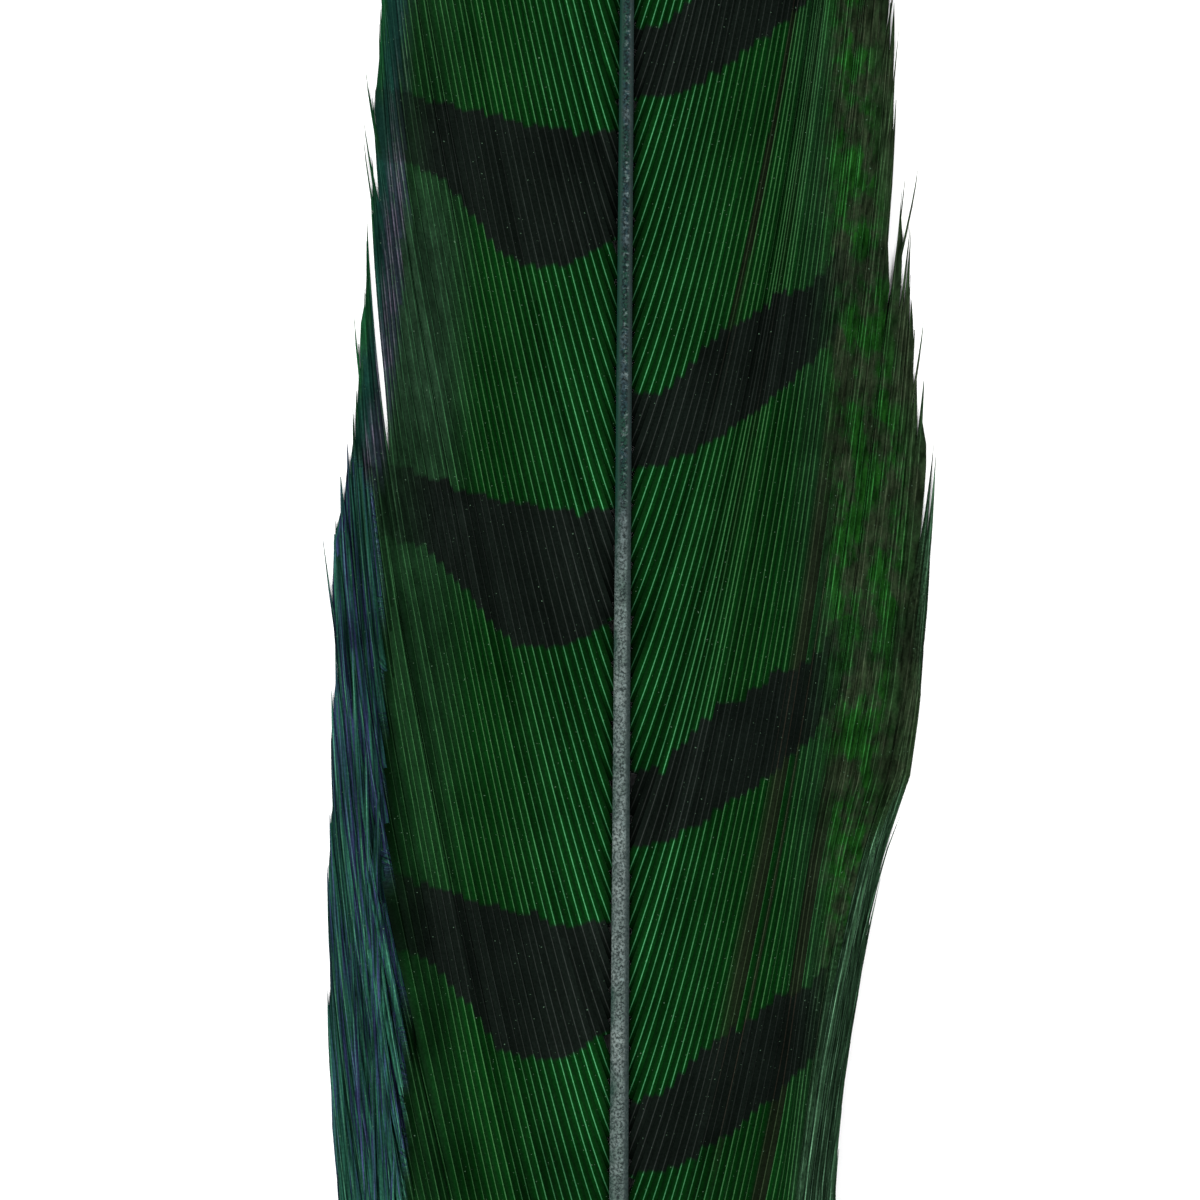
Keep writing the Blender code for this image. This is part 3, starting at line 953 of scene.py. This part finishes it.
def build_down(side, seed, material):
    barbs, hairs = down_paths(side, seed)
    points, faces = hair_faces(barbs, DOWN_THICK, 0)
    more_points, more_faces = hair_faces(hairs, HAIR_THICK, len(points))
    mesh = bpy.data.meshes.new(f"{side}_fluff")
    mesh.from_pydata(np.concatenate([points, more_points]), [], faces + more_faces)
    fluff = placed(f"{side}_fluff", mesh)
    bpy.ops.object.mode_set(mode="EDIT")
    bpy.ops.mesh.select_all(action="SELECT")
    bpy.ops.mesh.normals_make_consistent(inside=False)
    bpy.ops.object.mode_set(mode="OBJECT")
    bpy.ops.object.shade_smooth()
    mesh.materials.append(material)
    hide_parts(f"{side}_down")
    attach(fluff, "root")
    triangles = sum(len(face) - 2 for face in faces + more_faces)
    print(side, "down:", len(hairs), "hairs,", triangles, "triangles")


down = soft_down()
build_down("left", 21, down)
build_down("right", 22, down)

# %% [markdown]
# ## The shaft
#
# The quill is a bare horn tube, and the rachis above it a bar with a softly squared section. A square
# with rounded corners is extruded along the shaft ring by ring, each ring scaled about its own
# centre to the width there, and one subdivision rounds it off. A bevelled curve would give an even
# round tube, but the real shaft is flatter on top, which decides how it catches the light.

# %% Model the shaft
RINGS = np.concatenate([
    QUILL_SHOULDER * (1 - np.cos(np.linspace(0, math.pi / 2, 7))),
    np.linspace(QUILL_SHOULDER, SHAFT_END, 96)[1:],
])


def ring_centre(station):
    lift = shaft_underside(station) + shaft_width(station) / 2
    return np.array([shaft_x(station), station - FEATHER_LENGTH / 2, lift])


def model_shaft():
    first_width = float(shaft_width(RINGS[0]))
    bpy.ops.object.select_all(action="DESELECT")
    bpy.ops.mesh.primitive_plane_add(
        size=first_width, location=ring_centre(RINGS[0]), rotation=(math.pi / 2, 0, 0)
    )
    shaft = bpy.context.object
    shaft.name = "rachis_and_quill"
    bpy.ops.object.transform_apply(location=True, rotation=True, scale=True)
    bpy.ops.object.mode_set(mode="EDIT")
    bpy.ops.mesh.select_all(action="SELECT")
    bpy.ops.mesh.bevel(affect="VERTICES", offset=first_width * 0.36, segments=3)
    for here, there in zip(RINGS[:-1], RINGS[1:]):
        step = ring_centre(there) - ring_centre(here)
        ratio = float(shaft_width(there) / shaft_width(here))
        bpy.ops.mesh.extrude_region_move(TRANSFORM_OT_translate={"value": tuple(step)})
        bpy.ops.transform.resize(value=(ratio, 1, ratio), center_override=tuple(ring_centre(there)))
    bpy.ops.mesh.select_all(action="SELECT")
    bpy.ops.mesh.normals_make_consistent(inside=False)
    bpy.ops.object.mode_set(mode="OBJECT")
    rounded = shaft.modifiers.new("rounded", "SUBSURF")
    rounded.levels = rounded.render_levels = 1
    bpy.ops.object.modifier_apply(modifier="rounded")
    bpy.ops.object.shade_smooth()
    return shaft


shaft = model_shaft()
print("Shaft:", len(shaft.data.polygons), "faces")

# %% [markdown]
# ## Shaft horn
#
# The shaft is the same keratin, grown solid and polished by wear. Dye pools on it unevenly: slate
# where it took well, pale speckled grey where the horn shows through, and teal along the left edge.
# Its right side is greyer, partly painted shade where the horn is pale, and light specks along the top
# are painted highlights.

# %% Material of the shaft
SPECKLE = 0.16 * MM  # pits and grains of dye
SHINE = 0.30 * MM  # painted highlight specks along the top
CLOUD_LENGTH = 2.4 * MM  # pools of dye, along the shaft
PALER_FROM = (0.099, 0.090)  # y at which the horn begins to show through, and at which it does


def shaft_horn():
    material, add, fill_shader = new_material("dyed_shaft_horn")
    place = add("TexCoord", {}, give="Object")
    facing = add("TexCoord", {}, give="Normal")
    sideways = add("SeparateXYZ", {0: facing}, give="X")
    y = add("SeparateXYZ", {0: place}, give="Y")
    speckle = add("TexNoise", {"Vector": place, "Scale": 1 / SPECKLE, "Detail": 3.0, "Roughness": 0.7})
    pool = (1.6 / CLOUD_LENGTH, 1 / CLOUD_LENGTH, 1 / CLOUD_LENGTH)
    stretched = add("Mapping", {"Vector": place, "Scale": pool})
    pools = add("TexNoise", {"Vector": stretched, "Scale": 1.0, "Detail": 4.0, "Roughness": 0.65})

    # Dark slate dye, greener or bluer, over pale horn, both gritty.
    towards_quill = add("MapRange", {0: y, 1: PALER_FROM[0], 2: PALER_FROM[1]})
    here = add("Math", {0: towards_quill, 1: 0.76, 2: -0.06}, operation="MULTIPLY_ADD")
    pooled = add("Math", {0: pools, 1: 1.8, 2: -0.90}, operation="MULTIPLY_ADD")
    paleness = add("Clamp", {0: add("Math", {0: pooled, 1: here}, operation="ADD")})
    grit = add("MapRange", {0: speckle, 1: 0.42, 2: 0.58})
    blueness = add("MapRange", {0: pools, 1: 0.44, 2: 0.56})
    slate = painted(add, "#081112", [(grit, painted(add, "#153026", [(blueness, "#18292F")]))])
    pale = painted(add, "#262E2C", [(grit, "#606A67")])

    # Teal on the left edge where the dye took; on the right a greyer tone, partly painted shade; painted
    # highlight specks along the top.
    left_edge = add("MapRange", {0: sideways, 1: -0.10, 2: -0.60})
    took = add("Math", {0: 1.0, 1: paleness}, operation="SUBTRACT")
    left_edge = add("Math", {0: left_edge, 1: took}, operation="MULTIPLY")
    # Painted shade in part: the right side turns greyer, darker than the pale horn.
    right_side_grey_and_shade = add("MapRange", {0: sideways, 1: 0.10, 2: 0.50, 4: 0.8})
    off_top = add("Math", {0: sideways, 1: 0.12}, operation="SUBTRACT")
    off_top = add("Math", {0: off_top}, operation="ABSOLUTE")
    top = add("MapRange", {0: off_top, 1: 0.36, 2: 0.10, 4: 0.40})
    # Painted highlights: light specks along the top of the shaft.
    spots = add("TexNoise", {"Vector": place, "Scale": 1 / SHINE, "Detail": 3.0, "Roughness": 0.7})
    highlight_specks = add("MapRange", {0: spots, 1: 0.54, 2: 0.68})
    highlight_specks = add("Math", {0: highlight_specks, 1: top}, operation="MULTIPLY")
    layers = [(paleness, pale), (left_edge, "#0F2A22"), (right_side_grey_and_shade, "#1F2A29"), (highlight_specks, "#728280")]
    fill_shader({
        "Base Color": painted(add, slate, layers),
        "Roughness": add("Math", {0: speckle, 1: 0.25, 2: 0.38}, operation="MULTIPLY_ADD"),
        "Specular IOR Level": 0.05,
        "Normal": add("Bump", {"Height": speckle, "Strength": 0.3, "Distance": 0.02 * MM}),
    })
    return material


horn = shaft_horn()
shaft.data.materials.append(horn)
print("Nodes in the shaft's material:", len(horn.node_tree.nodes))
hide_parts("shaft")
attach(shaft, "root")

# %% [markdown]
# ## The studio
#
# The feather lies on a white table, between two soft lights low enough that nothing bright stands
# straight above it: a dark, finely ridged thing would otherwise turn grey with reflections. The
# camera looks straight down on the barred stretch above the feather's middle.

# %% Floor, lights and camera
VIEW_STATION = 330 * MM
VIEW_WIDTH = 75 * MM
VIEW_LEFT_OF_SHAFT = 1.4 * MM
FOCAL_LENGTH = 120.0
SENSOR = 36.0


def studio():
    bpy.ops.object.select_all(action="DESELECT")
    bpy.ops.mesh.primitive_plane_add(size=8.0, location=(0, 0, -0.02 * MM))
    floor = bpy.context.object
    floor.name = "table"
    material, _, fill_shader = new_material("white_table")
    fill_shader({"Base Color": linear("#F7F7F7"), "Roughness": 0.9, "Specular IOR Level": 0.1})
    floor.data.materials.append(material)
    for name, side, watts in (("left_light", -1, 30.0), ("right_light", 1, 22.0)):
        light = bpy.data.lights.new(name, "AREA")
        light.shape = "RECTANGLE"
        light.size, light.size_y = 0.8, 1.4
        light.energy = watts
        lamp = bpy.data.objects.new(name, light)
        lamp.location = (side * 0.95, VIEW_STATION - FEATHER_LENGTH / 2, 0.85)
        lamp.rotation_euler = (0, side * math.radians(48), 0)
        bpy.context.scene.collection.objects.link(lamp)
    world = bpy.data.worlds.new("pale_room")
    world.use_nodes = True
    world.node_tree.nodes["Background"].inputs["Color"].default_value = linear("#F4F4F4")
    world.node_tree.nodes["Background"].inputs["Strength"].default_value = 0.55
    bpy.context.scene.world = world


def add_camera():
    lens = bpy.data.cameras.new("camera")
    lens.lens, lens.sensor_width = FOCAL_LENGTH, SENSOR
    lens.clip_start = 0.01
    camera = bpy.data.objects.new("camera", lens)
    distance = VIEW_WIDTH * FOCAL_LENGTH / SENSOR
    camera.location = (
        shaft_x(VIEW_STATION) - VIEW_LEFT_OF_SHAFT,
        VIEW_STATION - FEATHER_LENGTH / 2,
        distance + SHAFT_BOW / 2,
    )
    bpy.context.scene.collection.objects.link(camera)
    bpy.context.scene.camera = camera


studio()
add_camera()
bpy.context.scene.view_settings.view_transform = "Standard"
print("The camera looks down from", round(bpy.context.scene.camera.location.z, 3), "m")
